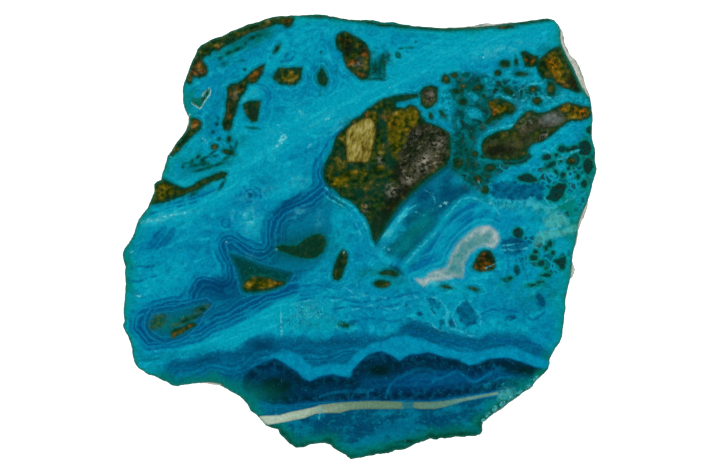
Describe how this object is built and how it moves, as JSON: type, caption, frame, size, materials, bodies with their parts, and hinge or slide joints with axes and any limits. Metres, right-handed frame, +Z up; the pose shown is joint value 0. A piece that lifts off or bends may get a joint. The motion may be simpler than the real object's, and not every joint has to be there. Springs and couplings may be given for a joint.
{
  "type": "polished chrysocolla slab",
  "caption": "Flat slice of blue-green banded mineral with a polished face, a broken outline, rough walls and patches of pale weathered skin.",
  "frame": {"origin": "middle of the bounding box, on the sawn back that the slab lies on", "axes": "+Z up out of the polished face, +X along the slab's longest side, +Y towards its long, gently arched top edge"},
  "size_m": [0.0948, 0.089, 0.0064],
  "materials": {
    "polished_stone": "polished"
  },
  "bodies": {
    "root": {"slab": "polished_stone"}
  },
  "joints": []
}
